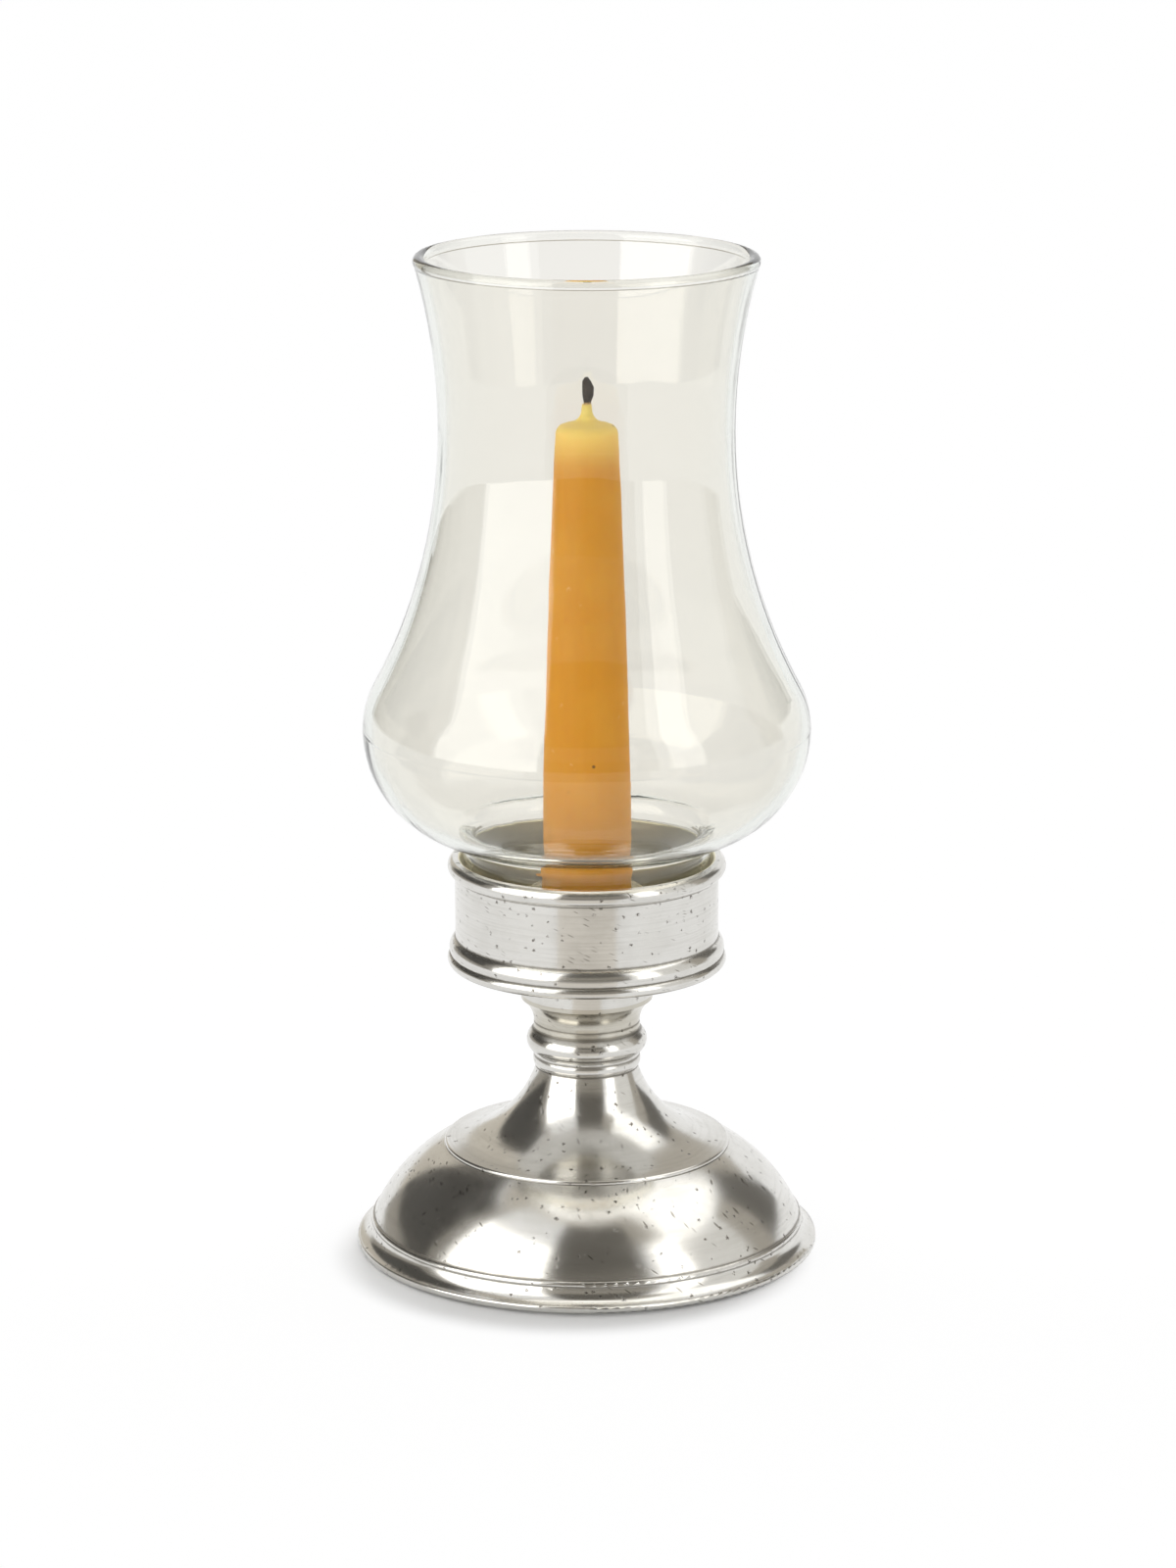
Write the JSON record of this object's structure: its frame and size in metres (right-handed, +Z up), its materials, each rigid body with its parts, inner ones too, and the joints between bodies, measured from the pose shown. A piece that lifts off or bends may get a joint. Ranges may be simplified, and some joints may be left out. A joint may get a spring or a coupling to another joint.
{
  "type": "hurricane candle lantern",
  "caption": "Table lantern with a turned pewter foot and gallery, a blown glass hurricane chimney and a taper candle in a hidden socket; chimney and candle lift out.",
  "frame": {"origin": "centre of the underside of the felt pad, on the table", "axes": "+Z up the lantern's axis; the lantern is turned, so +X and +Y are free, with -Y towards the viewer"},
  "size_m": [0.1154, 0.1154, 0.2494],
  "materials": {
    "pewter": "satin turned pewter with dark patina in the grooves",
    "fixing_steel": "zinc plated",
    "felt": "pressed felt",
    "clear_glass": "clear blown glass, fire-polished rim",
    "beeswax": "smooth honey-coloured wax",
    "wick": "braided cotton with a charred tip"
  },
  "bodies": {
    "stand": {"foot": "pewter", "stem": "pewter", "knop": "pewter", "neck": "pewter", "gallery": "pewter", "candle_socket": "pewter", "tie_rod": "fixing_steel", "tie_washer": "fixing_steel", "lock_washer": "fixing_steel", "tie_nut": "fixing_steel", "felt_pad": "felt"},
    "chimney": {"glass_chimney": "clear_glass"},
    "candle": {"candle": "beeswax", "wick": "wick"}
  },
  "joints": [
    {"name": "chimney_lift", "type": "slide", "parent": "stand", "child": "chimney", "axis": [0, 0, 1], "range_m": [0, 0.16]},
    {"name": "candle_lift", "type": "slide", "parent": "stand", "child": "candle", "axis": [0, 0, 1], "range_m": [0, 0.185]}
  ]
}
